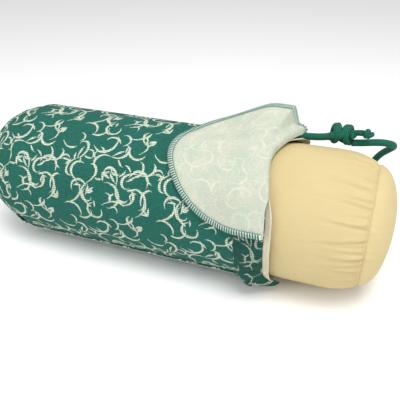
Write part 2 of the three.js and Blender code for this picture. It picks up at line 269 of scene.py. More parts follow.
def swept(path, radii, sides):
    """Vertices, faces and flat places of a round tube with closed, rounded ends."""
    path, count = np.asarray(path, float), len(path)
    radii = np.broadcast_to(radii, count)
    tangent = np.gradient(path, axis=0)
    tangent /= np.linalg.norm(tangent, axis=1, keepdims=True)
    side = np.cross(tangent[0], [0.3, 0.5, 0.81])
    vertices, length = [], 0
    marks = []
    for k in range(count):
        side = side - tangent[k] * np.dot(side, tangent[k])
        side /= np.linalg.norm(side)
        other = np.cross(tangent[k], side)
        turn = np.arange(sides) * math.tau / sides
        vertices.append(path[k] + radii[k] * (np.outer(np.cos(turn), side) + np.outer(np.sin(turn), other)))
        length += np.linalg.norm(path[k] - path[k - 1]) if k else 0
        marks.append(length)
    faces, flat = [], []
    for k in range(count - 1):
        for j in range(sides):
            n = (j + 1) % sides
            faces.append([k * sides + j, k * sides + n, (k + 1) * sides + n, (k + 1) * sides + j])
            round_a, round_b = j * math.tau * radii[k] / sides, (j + 1) * math.tau * radii[k] / sides
            flat.append([(marks[k], round_a), (marks[k], round_b), (marks[k + 1], round_b),
                         (marks[k + 1], round_a)])
    for ring, mark in ((list(range(sides))[::-1], 0),
                       ([(count - 1) * sides + j for j in range(sides)], marks[-1])):
        faces.append(ring)
        flat.append([(mark, j) for j in range(sides)])
    return np.vstack(vertices), faces, flat


def tubes(name, paths, radius, material, sides=6, rounded=False):
    """One object of many tubes, each along its own path."""
    vertices, faces, flat, shift = [], [], [], 0
    for path in paths:
        radii = np.full(len(path), float(radius))
        if rounded:
            radii[0] = radii[-1] = radius * 0.45
        v, f, c = swept(path, radii, sides)
        vertices.append(v)
        faces += [[k + shift for k in face] for face in f]
        flat += c
        shift += len(v)
    return new_object(name, np.vstack(vertices), faces, flat, material)


def declare(piece, body, slot_name, *stands_for):
    """Puts a piece on its body, in place of CAD nodes."""
    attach(piece, body)
    if stands_for:
        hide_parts(*stands_for)


# --- Materials --------------------------------------------------------------------------------

def node(tree, kind, inputs=None, **settings):
    made = tree.nodes.new("ShaderNode" + kind)
    for key, value in settings.items():
        setattr(made, key, value)
    for key, value in (inputs or {}).items():
        if isinstance(value, bpy.types.NodeSocket):
            tree.links.new(value, made.inputs[key])
        else:
            made.inputs[key].default_value = value
    return made


def maths(tree, operation, *values, clamp=False):
    return node(tree, "Math", dict(enumerate(values)), operation=operation, use_clamp=clamp).outputs[0]


def vectors(tree, operation, *values):
    return node(tree, "VectorMath", dict(enumerate(values)), operation=operation).outputs[0]


def mixed(tree, factor, first, second):
    made = node(tree, "Mix", {"Factor": factor}, data_type="RGBA")
    for key, value in (("A", first), ("B", second)):
        socket = next(s for s in made.inputs if s.name == key and s.type == "RGBA")
        if isinstance(value, bpy.types.NodeSocket):
            tree.links.new(value, socket)
        else:
            socket.default_value = (*value, 1)
    return next(s for s in made.outputs if s.type == "RGBA")


def material(name, roughness, sheen=0.0):
    made = bpy.data.materials.new(name)
    made.use_nodes = True
    shader = made.node_tree.nodes["Principled BSDF"]
    shader.inputs["Roughness"].default_value = roughness
    shader.inputs["Specular IOR Level"].default_value = 0.25
    shader.inputs["Sheen Weight"].default_value = sheen
    shader.inputs["Sheen Roughness"].default_value = 0.5
    return made, made.node_tree, shader


def cloth_place(tree):
    return node(tree, "UVMap", uv_map="cloth").outputs[0]


def noise(tree, place, scale, detail):
    return node(tree, "TexNoise", {"Vector": place, "Scale": scale, "Detail": detail}).outputs["Fac"]


def scaled(tree, vector, x, y, z=1.0):
    return vectors(tree, "MULTIPLY", vector, (x, y, z))


def bumped(tree, shader, height, distance, strength=1.0):
    """Turns a height into a bump. distance is in millimetres."""
    made = node(tree, "Bump", {"Height": height, "Distance": distance * MM, "Strength": strength})
    tree.links.new(made.outputs[0], shader.inputs["Normal"])


def stroke_group():
    """A node group that draws one tapered arc of the print, repeated over the cloth."""
    group = bpy.data.node_groups.new("print_stroke", "ShaderNodeTree")
    sockets = [("Place", "NodeSocketVector"), ("Middle", "NodeSocketVector"), ("Arm", "NodeSocketVector"),
               ("Radius", "NodeSocketFloat"),
               ("Start", "NodeSocketFloat"), ("Sweep", "NodeSocketFloat"), ("Width", "NodeSocketFloat"),
               ("Growth", "NodeSocketFloat"), ("Belly", "NodeSocketFloat"), ("Softness", "NodeSocketFloat")]
    for name, kind in sockets:
        group.interface.new_socket(name, in_out="INPUT", socket_type=kind)
    group.interface.new_socket("Ink", in_out="OUTPUT", socket_type="NodeSocketFloat")
    given = group.nodes.new("NodeGroupInput").outputs
    offset = vectors(group, "SUBTRACT", given["Place"], given["Middle"])
    half = (REPEAT[0] / 2, REPEAT[1] / 2, 1)
    offset = vectors(group, "WRAP", offset, half, tuple(-v for v in half))
    offset = vectors(group, "ADD", offset, given["Arm"])
    apart = node(group, "VectorMath", {0: offset}, operation="LENGTH").outputs["Value"]
    x, y = (node(group, "VectorMath", {0: offset, 1: axis}, operation="DOT_PRODUCT").outputs["Value"]
            for axis in ((1, 0, 0), (0, 1, 0)))
    turned = maths(group, "SUBTRACT", maths(group, "ARCTAN2", y, x), given["Start"])
    turned = maths(group, "FLOORED_MODULO", turned, math.tau)
    share = maths(group, "DIVIDE", turned, given["Sweep"])
    growth = maths(group, "MULTIPLY_ADD", maths(group, "SUBTRACT", 1.0, share), given["Belly"],
                   given["Growth"])
    wide = maths(group, "MULTIPLY_ADD", share, growth, given["Width"])
    wide = maths(group, "SUBTRACT", wide,
                 maths(group, "MULTIPLY", maths(group, "GREATER_THAN", share, 1.0), 9999.0))
    edge = maths(group, "SUBTRACT", wide,
                 maths(group, "ABSOLUTE", maths(group, "SUBTRACT", apart, given["Radius"])))
    ink = maths(group, "DIVIDE", edge, given["Softness"], clamp=True)
    group.links.new(ink, group.nodes.new("NodeGroupOutput").inputs["Ink"])
    return group


# The print is a plain scroll pattern made for this model. A pen stroke is where the pen starts, its
# heading, its first width, and then stretches of (length, turn, width at the end), in millimetres.
SPRIG = [
    (0, 0, 10, 0.8, [(11, 35, 2.2), (11, 65, 3.2), (8, 80, 1.2), (5, 70, 0.5)]),
    (0, 0, 190, 0.8, [(10, 30, 2.0), (10, 60, 2.8), (7, 80, 0.6)]),
    (9, 1.5, -40, 1.6, [(5, 20, 2.2), (5, 25, 0.4)]),
    (-9, -1.5, 140, 1.6, [(5, 20, 2.2), (5, 25, 0.4)]),
    (1, 1, 72, 0.6, [(8, -14, 2.6), (6, -22, 0.4)]),
]
# The sprig's places on one repeat, each with its turn.
SPRIG_PLACES = [(14, 54, 15), (52, 62, -25), (86, 48, 160), (32, 32, 205), (64, 34, 70)]
PEN_STROKES = [
    (12, 8, 18, 1.6, [(10, 32, 2.4), (12, 52, 1.6), (8, 72, 0.6)]),
    (36, 6, 152, 1.6, [(9, -26, 2.6), (9, -40, 1.4), (6, -62, 0.5)]),
    (49, 10, 40, 0.8, [(12, -20, 1.6), (10, -32, 3.2), (6, -50, 0.7)]),
    (71, 15, -4, 1.0, [(9, 36, 1.8), (9, 52, 3.0), (7, 62, 1.2), (4, 40, 0.5)]),
    (93, 18, 102, 1.2, [(8, -20, 2.2), (10, -52, 2.6), (5, -60, 0.6)]),
    (87, 4, 30, 0.8, [(8, 20, 1.4), (9, 22, 3.2), (5, 10, 0.5)]),
    (20, 85, -22, 1.6, [(9, 42, 2.6), (10, 52, 1.4), (6, 62, 0.5)]),
    (40, 80, 62, 1.2, [(7, -52, 2.0), (9, -52, 2.8), (5, -20, 0.6)]),
    (63, 86, -10, 1.0, [(10, 26, 1.6), (11, 36, 3.0), (6, 46, 0.6)]),
    (87, 80, 160, 1.0, [(9, -32, 1.6), (9, -42, 2.8), (6, -60, 0.7)]),
    (97, 72, -62, 1.0, [(8, 32, 1.6), (8, 42, 2.6), (5, 30, 0.6)]),
    (80, 69, 22, 0.7, [(8, 42, 1.2), (9, 62, 1.8), (5, 60, 0.5)]),
]

# Tapered leaves and curls: where the pen starts, its heading, length, turn and greatest width.
LEAVES = [
    (24, 50, 150, 34, 215, 2.8), (96, 36, 60, 36, 200, 3.0), (44, 88, 200, 30, -190, 2.6),
    (70, 76, 250, 30, 180, 2.8), (14, 20, 120, 30, -200, 2.6), (84, 62, 340, 26, -170, 2.6),
    (30, 56, 40, 16, 170, 2.0), (52, 24, 20, 16, -180, 2.0), (88, 28, 140, 15, 190, 2.0),
    (8, 84, 10, 16, -170, 2.0), (66, 4, 60, 14, 170, 1.8), (101, 50, 100, 16, -180, 2.0),
    (36, 66, 200, 14, 170, 1.8), (76, 90, 30, 15, -170, 1.9), (56, 50, 260, 15, 160, 1.8),
    (31, 20, 20, 9, 20, 2.6), (31, 20, 52, 11, -14, 2.8), (31, 20, 84, 8, -25, 2.2),
    (93, 88, 198, 9, 22, 2.6), (93, 88, 232, 11, 12, 3.0), (93, 88, 262, 8, -22, 2.2),
    (46, 44, 296, 9, -18, 2.4), (46, 44, 330, 11, 12, 2.8), (46, 44, 2, 9, 25, 2.4),
    (101, 8, 98, 9, -20, 2.6), (101, 8, 132, 10, 14, 2.6), (101, 8, 164, 8, 24, 2.2),
    (12, 60, 250, 8, 30, 2.0), (18, 56, 285, 7, -20, 1.8), (66, 68, 100, 8, -30, 2.0),
    (85, 72, 60, 7, 20, 1.8), (40, 6, 80, 8, 30, 2.0), (58, 14, 100, 8, -40, 2.0),
    (2, 46, 30, 9, 40, 2.2), (76, 30, 30, 9, -40, 2.2), (64, 44, 150, 8, 40, 1.8),
    (28, 72, 300, 44, 190, 2.8), (50, 34, 20, 46, -200, 2.8), (90, 12, 20, 40, 210, 2.6),
    (4, 4, 40, 30, -150, 2.6), (36, 92, 300, 22, 190, 2.2), (60, 76, 10, 24, 200, 2.2),
]
LEAF_END = 0.2
PEN_WIDTH = 1.08


def pen_strokes():
    """Every pen stroke on one repeat: the sprig's, turned at each of its places, and the single ones."""
    for middle_x, middle_y, turn in SPRIG_PLACES:
        along, across = math.cos(math.radians(turn)), math.sin(math.radians(turn))
        for x, y, heading, width, stretches in SPRIG:
            yield (middle_x + x * along - y * across, middle_y + x * across + y * along, heading + turn,
                   width,
                   stretches)
    yield from PEN_STROKES


def pen_arcs():
    """Each stroke's arcs as (centre, radius, start, sweep, half widths at its two ends, half its belly)."""
    for x, y, heading, length, turn, width in LEAVES:
        heading, turn = math.radians(heading), math.radians(turn)
        radius = length / abs(turn)
        side = math.copysign(math.pi / 2, turn)
        centre = (x + radius * math.cos(heading + side), y + radius * math.sin(heading + side))
        begin = heading - side
        yield centre, radius, min(begin,
                                  begin + turn), abs(turn), LEAF_END, LEAF_END, 4 * (width / 2 - LEAF_END)
    for x, y, heading, width, stretches in pen_strokes():
        heading = math.radians(heading)
        for length, turn, end_width in stretches:
            turn = math.radians(turn)
            radius = length / abs(turn)
            side = math.copysign(math.pi / 2, turn)
            centre = (x + radius * math.cos(heading + side), y + radius * math.sin(heading + side))
            begin = heading - side
            heading += turn
            x, y = centre[0] + radius * math.cos(heading - side), centre[1] + radius * math.sin(heading - side)
            if turn > 0:
                yield centre, radius, begin, turn, width / 2, end_width / 2, 0
            else:
                yield centre, radius, begin + turn, -turn, end_width / 2, width / 2, 0
            width = end_width


def print_ink(tree, place, softness, mirrored=False):
    """How much ink the print puts at each place on the cloth, from 0 to 1."""
    if mirrored:
        place = scaled(tree, place, 1, -1)
    waver = node(tree, "TexNoise", {"Vector": place, "Scale": 0.12, "Detail": 2.5}).outputs["Color"]
    waver = vectors(tree, "MULTIPLY", vectors(tree, "SUBTRACT", waver, (0.5, 0.5, 0.5)), (1.8, 1.8, 0))
    place = scaled(tree, vectors(tree, "ADD", place, waver), 1, 1, 0)
    stroke = bpy.data.node_groups.get("print_stroke") or stroke_group()
    ink = None
    for (x, y), radius, start, sweep, width, end_width, belly in pen_arcs():
        arc = tree.nodes.new("ShaderNodeGroup")
        arc.node_tree = stroke
        tree.links.new(place, arc.inputs["Place"])
        middle = (radius * math.cos(start + sweep / 2), radius * math.sin(start + sweep / 2))
        arc.inputs["Middle"].default_value = (x + middle[0], y + middle[1], 0)
        arc.inputs["Arm"].default_value = (*middle, 0)
        for key, value in (("Radius", radius), ("Start", start), ("Sweep", sweep), ("Width", width),
                           ("Growth", end_width - width), ("Belly", belly), ("Softness", softness)):
            arc.inputs[key].default_value = value * (PEN_WIDTH if key in ("Width", "Growth", "Belly") else 1)
        ink = arc.outputs["Ink"] if ink is None else maths(tree, "MAXIMUM", ink, arc.outputs["Ink"])
    return ink


def weave(tree, place, along, across):
    """A cloth's raised threads, that far apart along and across it: (height, tone from thread to thread)."""
    waves = [along_cloth(tree, place, (math.tau / along, lean * math.tau / across)) for lean in (0.5, -0.5)]
    lattice = maths(tree, "MULTIPLY", *(maths(tree, "SINE", wave) for wave in waves))
    height = maths(tree, "MULTIPLY_ADD", lattice, 0.5, 0.5)
    fleck = noise(tree, scaled(tree, place, 0.8 / along, 0.8 / across), 1.0, 2.0)
    return height, maths(tree, "MULTIPLY_ADD", fleck, 2.4, -0.7, clamp=True)


def along_cloth(tree, place, direction):
    return node(tree, "VectorMath", {0: place, 1: (*direction, 0)},
                operation="DOT_PRODUCT").outputs["Value"]


def printed_cotton(name, shade):
    made, tree, shader = material(name, 0.85)
    place = cloth_place(tree)
    ink = print_ink(tree, place, 0.35)
    height, tone = weave(tree, place, 3.2, 2.1)
    patch = noise(tree, place, 0.03, 3.0)
    green = mixed(tree, maths(tree, "MULTIPLY", tone, 0.5), (0.008, 0.100, 0.072), (0.022, 0.190, 0.138))
    green = mixed(tree, maths(tree, "MULTIPLY_ADD", patch, 1.6, -0.5, clamp=True), green,
                  (0.016, 0.150, 0.120))
    cream = mixed(tree, tone, (0.52, 0.60, 0.47), (0.78, 0.82, 0.68))
    covered = maths(tree, "MULTIPLY", ink, maths(tree, "MULTIPLY_ADD", height, 0.5, 0.62, clamp=True))
    cloth = mixed(tree, covered, green, cream)
    # Painted shade: the weave's low threads are mixed towards near-black, and a shade value below 1 darkens the whole
    # cloth with painted shade.
    sunk = maths(tree, "MULTIPLY_ADD", height, 1.0 * shade, 0.4 * shade)
    tree.links.new(mixed(tree, sunk, (0.001, 0.010, 0.007), cloth), shader.inputs["Base Color"])
    bumped(tree, shader, height, 0.45, 0.9)
    return made


def cloth_reverse():
    made, tree, shader = material("cloth_reverse", 0.9, 0.03)
    place = cloth_place(tree)
    ink = print_ink(tree, place, 2.6, mirrored=True)
    height, tone = weave(tree, place, 2.2, 1.4)
    fleck = noise(tree, place, 0.5, 4.0)
    patch = noise(tree, place, 0.06, 3.0)
    ground = mixed(tree, maths(tree, "MULTIPLY_ADD", patch, 2.4, -0.7, clamp=True),
                   (0.40, 0.46, 0.375), (0.54, 0.53, 0.42))
    ground = mixed(tree, maths(tree, "MULTIPLY_ADD", fleck, 2.0, -0.75, clamp=True), ground,
                   (0.36, 0.46, 0.39))
    shown = mixed(tree, maths(tree, "MULTIPLY", ink, 0.8), ground, (0.74, 0.70, 0.57))
    shown = mixed(tree, maths(tree, "MULTIPLY", tone, 0.25), shown, (0.76, 0.74, 0.62))
    tree.links.new(shown, shader.inputs["Base Color"])
    bumped(tree, shader, height, 0.3, 0.6)
    return made


def facing_cotton():
    made, tree, shader = material("facing_cotton", 0.9, 0.15)
    place = cloth_place(tree)
    height, tone = weave(tree, place, 2.0, 1.3)
    fleck = noise(tree, place, 0.4, 3.0)
    ground = mixed(tree, maths(tree, "MULTIPLY_ADD", fleck, 2.0, -0.6, clamp=True),
                   (0.54, 0.48, 0.34), (0.64, 0.59, 0.45))
    tree.links.new(mixed(tree, maths(tree, "MULTIPLY", tone, 0.3), ground, (0.82, 0.79, 0.66)),
                   shader.inputs["Base Color"])
    bumped(tree, shader, height, 0.3, 0.6)
    return made


def plain_calico():
    made, tree, shader = material("plain_calico", 0.82, 0.05)
    place = cloth_place(tree)
    across = node(tree, "TexWave", {"Vector": place, "Scale": 0.62, "Distortion": 1.5, "Detail": 2.0},
                  wave_type="BANDS", bands_direction="X").outputs["Fac"]
    around = node(tree, "TexWave", {"Vector": place, "Scale": 0.62, "Distortion": 1.5, "Detail": 2.0},
                  wave_type="BANDS", bands_direction="Y").outputs["Fac"]
    ribs = maths(tree, "ADD", across, around)
    slub = noise(tree, scaled(tree, place, 0.05, 0.5), 1.0, 4.0)
    patch = noise(tree, place, 0.022, 3.0)
    ground = mixed(tree, maths(tree, "MULTIPLY_ADD", patch, 2.0, -0.5, clamp=True),
                   (0.60, 0.48, 0.235), (0.64, 0.53, 0.275))
    ground = mixed(tree, maths(tree, "MULTIPLY_ADD", slub, 0.9, -0.3, clamp=True), ground,
                   (0.56, 0.43, 0.205))
    tree.links.new(mixed(tree, maths(tree, "MULTIPLY", ribs, 0.12), ground, (0.70, 0.60, 0.34)),
                   shader.inputs["Base Color"])
    bumped(tree, shader, maths(tree, "MULTIPLY_ADD", slub, 0.8, ribs), 0.12, 0.7)
    return made


def braided_cord():
    """Two sets of strands wound opposite ways round the cord, with painted shade in the grooves between them."""
    made, tree, shader = material("braided_cord", 0.75, 0.03)
    place = cloth_place(tree)
    waves = []
    for lean in (1, -1):
        waves.append(maths(tree, "SINE", along_cloth(tree, place, (2.4, 2.0 * lean))))
    braid = maths(tree, "MULTIPLY_ADD", maths(tree, "MAXIMUM", *waves), 0.5, 0.5)
    fuzz = noise(tree, place, 1.4, 4.0)
    # Painted shade: the cord is darkened towards near-black in the grooves between strands, with random fuzz tone over
    # it.
    tone = maths(tree, "MULTIPLY", braid, maths(tree, "MULTIPLY_ADD", fuzz, 0.8, 0.5), clamp=True)
    tree.links.new(mixed(tree, tone, (0.001, 0.026, 0.017), (0.008, 0.150, 0.100)),
                   shader.inputs["Base Color"])
    bumped(tree, shader, maths(tree, "MULTIPLY_ADD", fuzz, 0.4, braid), 0.45, 0.8)
    return made


def thread(name, dark, light):
    made, tree, shader = material(name, 0.75, 0.2)
    place = cloth_place(tree)
    twist = along_cloth(tree, place, (5.0, 6.0))
    ply = maths(tree, "MULTIPLY_ADD", maths(tree, "SINE", twist), 0.5, 0.5)
    fuzz = noise(tree, place, 0.7, 3.0)
    tree.links.new(mixed(tree, maths(tree, "MULTIPLY_ADD", ply, 0.5, maths(tree, "MULTIPLY", fuzz, 0.5)),
                         dark, light),
                   shader.inputs["Base Color"])
    bumped(tree, shader, ply, 0.12, 0.7)
    return made


def loose_fibre():
    made, tree, shader = material("loose_fibre", 0.95, 0.3)
    place = node(tree, "TexCoord").outputs["Object"]
    fibre = node(tree, "TexNoise",
                 {"Vector": place, "Scale": 260.0, "Detail": 6.0, "Distortion": 1.5}).outputs["Fac"]
    tree.links.new(mixed(tree, fibre, (0.70, 0.64, 0.50), (0.92, 0.88, 0.78)), shader.inputs["Base Color"])
    bumped(tree, shader, fibre, 1.0, 0.8)
    return made


PRINT = printed_cotton("printed_cotton", 1.0)
# A darker copy of the print for the casing: painted shade for the shadow at its lower front, laid all round the
# casing.
SHADED_PRINT = printed_cotton("shaded_printed_cotton", 0.55)
REVERSE = cloth_reverse()
FACING = facing_cotton()
CALICO = plain_calico()
BRAID = braided_cord()
GREEN_THREAD = thread("green_thread", (0.012, 0.085, 0.064), (0.05, 0.20, 0.16))
PALE_THREAD = thread("pale_thread", (0.42, 0.52, 0.46), (0.74, 0.80, 0.72))
CREAM_THREAD = thread("cream_thread", (0.56, 0.42, 0.20), (0.82, 0.68, 0.40))
FIBRE = loose_fibre()


# --- Camera, light and floor ------------------------------------------------------------------

def add_camera():
    azimuth, elevation, distance = math.radians(20.47), math.radians(31), 525
    aim = np.array([23.1, 0, AXIS_HEIGHT - 8.6])
    back = np.array([math.sin(azimuth) * math.cos(elevation), -math.cos(azimuth) * math.cos(elevation),
                     math.sin(elevation)])
    data = bpy.data.cameras.new("camera")
    data.lens = 42.6
    data.sensor_width = 36
    camera = bpy.data.objects.new("camera", data)
    camera.location = (aim + back * distance) * MM
    camera.rotation_euler = Vector(-back).to_track_quat("-Z", "Y").to_euler()
    bpy.context.scene.collection.objects.link(camera)
    bpy.context.scene.camera = camera


def add_light(name, place, target, size, power, colour=(1, 1, 1)):
    data = bpy.data.lights.new(name, "AREA")
    data.size = size
    data.energy = power
    data.color = colour
    lamp = bpy.data.objects.new(name, data)
    lamp.location = place
    lamp.rotation_euler = (Vector(target) - Vector(place)).to_track_quat("-Z", "Y").to_euler()
    bpy.context.scene.collection.objects.link(lamp)


def add_studio():
    floor = new_object("floor",
                       [(-6000, -6000, -0.3), (6000, -6000, -0.3), (6000, 6000, -0.3), (-6000, 6000, -0.3)],
                       [[0, 1, 2, 3]])
    made, tree, shader = material("floor", 0.9)
    grain = node(tree, "TexNoise", {"Scale": 3.0, "Detail": 2.0}).outputs["Fac"]
    tree.links.new(mixed(tree, grain, (0.93, 0.93, 0.93), (0.96, 0.96, 0.96)), shader.inputs["Base Color"])
    floor.data.materials.append(made)
    floor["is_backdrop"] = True
    world = bpy.data.worlds.new("studio")
    bpy.context.scene.world = world
    world.use_nodes = True
    world.node_tree.nodes["Background"].inputs["Color"].default_value = (1, 1, 1, 1)
    world.node_tree.nodes["Background"].inputs["Strength"].default_value = 0.7
    middle = (0.05, 0, 0.07)
    add_light("key", (0.35, -0.35, 1.5), middle, 0.8, 15)
    add_light("fill", (-0.9, -1.1, 0.9), middle, 1.0, 6)
    add_light("side", (1.5, -0.4, 0.6), middle, 0.7, 4)


# --- The free end of the drawstring -----------------------------------------------------------

LONG_TAIL = [
    (170.5, 38, 137.6), (178, 40, 137.8), (186, 42, 138.4), (194, 44, 139), (202, 46.5, 138.6),
    (208.5, 51, 136), (210.5, 57, 131.4), (207, 62.5, 125.4), (201.5, 67.5, 118), (196.5, 72.5, 108),
    (192.5, 77.5, 94), (189.5, 81, 76), (187.5, 83.5, 56), (186, 86, 36), (184.5, 89.5, 19),
    (180, 94.5, 8), (171, 99, 4), (160, 101.5, 3.8), (149, 101.5, 3.8), (138, 100, 3.8),
]


def stopper(centre, along, up, size, start):
    """The path of a small overhand knot: in, round once and a half, and out as a short cut end."""
    along, up = np.array(along, float), np.array(up, float)
    along /= np.linalg.norm(along)
    side = np.cross(along, up)
    side /= np.linalg.norm(side)
    up = np.cross(side, along)
    path = [start]
    for k in range(15):
        turn = math.radians(200 + 36 * k)
        shift = -size * 0.55 + size * 1.1 * k / 14
        path.append(centre + along * shift + size * 0.78 * (math.cos(turn) * side + math.sin(turn) * up))
    path.append(centre + along * size * 1.5 - up * size * 0.15)
    path.append(centre + along * size * 2.05 - up * size * 0.3)
    return through(path, 1.0)


def drawstring_ends():
    path = through(LONG_TAIL, 2.0)
    vertices, faces, flat = swept(path, CORD / 2, 16)
    tail = new_object("long_tail", vertices, faces, flat, BRAID)
    knot = tubes("long_tail_stopper", [stopper(np.array([131.6, 98.6, 6.4]), (-1, -0.2, 0), (0, 0, 1), 3.2,
                                               path[-1] + [-1.0, 0, 0])], 2.9, BRAID, sides=12,
                                               rounded=True)
    for piece, stands_for in ((tail, "drawstring_long_tail"), (knot, "long_tail_knot")):
        declare(piece, "cover", "cord", stands_for)


add_camera()
drawstring_ends()
add_studio()


# --- The stuffed roll -------------------------------------------------------------------------

def roll_radius(x, full, seam):
    share = np.maximum(0, (np.abs(x) - (HALF_LENGTH - SHOULDER)) / SHOULDER)
    return full - (full - seam) * share**2.3


def blown_up(full, seam, end, cap):
    """The surface of a stuffed case: a slightly slack roll whose seams are held while it is blown up."""
    slack = 3.0
    dome_x = np.linspace(0, 1, 9)[1:]
    profile = [(x, roll_radius(x, full - slack, seam)) for x in np.linspace(-end, end, 61)]
    right = [(end + (DOME - slack) * math.sin(t * math.pi / 2),
              seam * math.cos(t * math.pi / 2)) for t in dome_x]
    profile = [(-x, r) for x, r in reversed(right)] + profile + right
    profile = [(x, max(r, 0.5)) for x, r in profile]
    turns = 72
    vertices = [polar(x, 360 * j / turns, r) for x, r in profile for j in range(turns)]
    faces = [[i * turns + j, i * turns + (j + 1) % turns, (i + 1) * turns + (j + 1) % turns,
              (i + 1) * turns + j]
             for i in range(len(profile) - 1) for j in range(turns)]
    faces += [list(range(turns))[::-1], [(len(profile) - 1) * turns + j for j in range(turns)]]
    roll = new_object("stuffed_roll", vertices, faces)
    bpy.context.view_layer.objects.active = roll
    roll.select_set(True)
    remesh = roll.modifiers.new("remesh", "REMESH")
    remesh.mode = "VOXEL"
    remesh.voxel_size = 0.006
    bpy.ops.object.modifier_apply(modifier=remesh.name)
    points = np.array([v.co for v in roll.data.vertices])
    held = [i for i, p in enumerate(points / MM) if abs(abs(p[0]) - end) < 4 and
            math.hypot(p[1], p[2] - AXIS_HEIGHT) > seam - 7]
    roll.vertex_groups.new(name="seam").add(held, 1.0, "REPLACE")
    cloth = roll.modifiers.new("cloth", "CLOTH")
    cloth.settings.vertex_group_mass = "seam"
    cloth.settings.use_pressure = True
    cloth.settings.uniform_pressure_force = 4
    cloth.settings.effector_weights.gravity = 0
    for step in range(1, 21):
        bpy.context.scene.frame_set(step)
    evaluated = roll.evaluated_get(bpy.context.evaluated_depsgraph_get())
    swollen = np.array([v.co for v in evaluated.data.vertices])
    bpy.context.scene.frame_set(1)
    roll.modifiers.remove(cloth)
    moved = swollen - points
    size = np.linalg.norm(moved, axis=1, keepdims=True)
    points = points + moved * np.minimum(1, cap * MM / np.maximum(size, 1e-9))
    tree = BVHTree.FromPolygons([Vector(p) for p in points], [list(f.vertices) for f in roll.data.polygons])
    bpy.data.objects.remove(roll)
    return tree


def softened(values, passes, wrapped=True):
    """Evens out a grid of values, round the roll and along it."""
    for _ in range(passes):
        padded = np.vstack([values[:1], values, values[-1:]])
        values = (padded[:-2] + 2 * values + padded[2:]) / 4
        if wrapped:
            ring = values[:, :-1]
            ring = (np.roll(ring, 1, 1) + 2 * ring + np.roll(ring, -1, 1)) / 4
            values = np.hstack([ring, ring[:, :1]])
    return values


def reach(surface, origin_x, lean, angle):
    """How far the blown-up surface is from the axis, leaning by some degrees towards +X."""
    origin = Vector((origin_x * MM, 0, AXIS_HEIGHT * MM))
    outward = outward_at(angle)
    direction = Vector(outward * math.cos(math.radians(lean)) + np.array([math.sin(math.radians(lean)), 0, 0]))
    hit = surface.ray_cast(origin, direction)
    return hit[3] / MM if hit[3] else 0.0


def side_grid(surface, xs, angles):
    """Radii of the roll's side at stations along it and angles round it."""
    radii = np.array([[reach(surface, x, 0, a) for a in angles[:-1]] for x in xs])
    return softened(np.hstack([radii, radii[:, :1]]), 3)


def end_grid(surface, centre_x, side, leans, angles):
    """Distances of an end panel from a point inside the roll, at leans from the seam to the middle."""
    radii = np.array([[reach(surface, centre_x, side * lean, a) for a in angles[:-1]] for lean in leans])
    return softened(np.hstack([radii, radii[:, :1]]), 3)


def end_leans(rim):
    """Leans from an end panel's seam to its middle, closest at the seam."""
    return np.concatenate([np.linspace(rim, rim + 9, 10)[:-1], np.linspace(rim + 9, 89.0, 34)])


def gathers(arc, away, seed, count, ring, depth, longest):
    """Creases that run off a gathered seam. arc is the distance round it and away the distance from it."""
    rng = random.Random(seed)
    total = np.zeros(np.broadcast(arc, away).shape)
    for k in range(count):
        middle = (k + rng.uniform(-0.35, 0.35)) * ring / count
        long, deep = rng.uniform(0.35, 1.0) * longest, rng.uniform(0.3, 1.0) * depth
        lean = rng.uniform(-0.16, 0.16)
        across = (arc - middle - lean * away + ring / 2) % ring - ring / 2
        fade = np.exp(-((away / long) ** 2)) * (1 - np.exp(-away / 1.6))
        total += deep * fade * (-np.exp(-((across / 1.3) ** 2)) + 0.55 * np.exp(-(((across - 2.8) / 1.7) ** 2)))
    return total


ANGLES = np.linspace(-180, 180, 361)


def seam_pinch(away):
    """The dip where two panels are sewn together, against the distance from the seam."""
    return -1.5 * np.exp(-((away / 1.5) ** 2)) - 0.5 * np.exp(-((away / 7.0) ** 2))


def squeezed(x, angle):
    """How much slimmer the inner pillow is inside the cover."""
    inside = 2 * x - with_mouth(x, angle)
    return SQUEEZE * (1 - smooth(inside, 96, 113)) * smooth(x, -HALF_LENGTH, -HALF_LENGTH + 30)


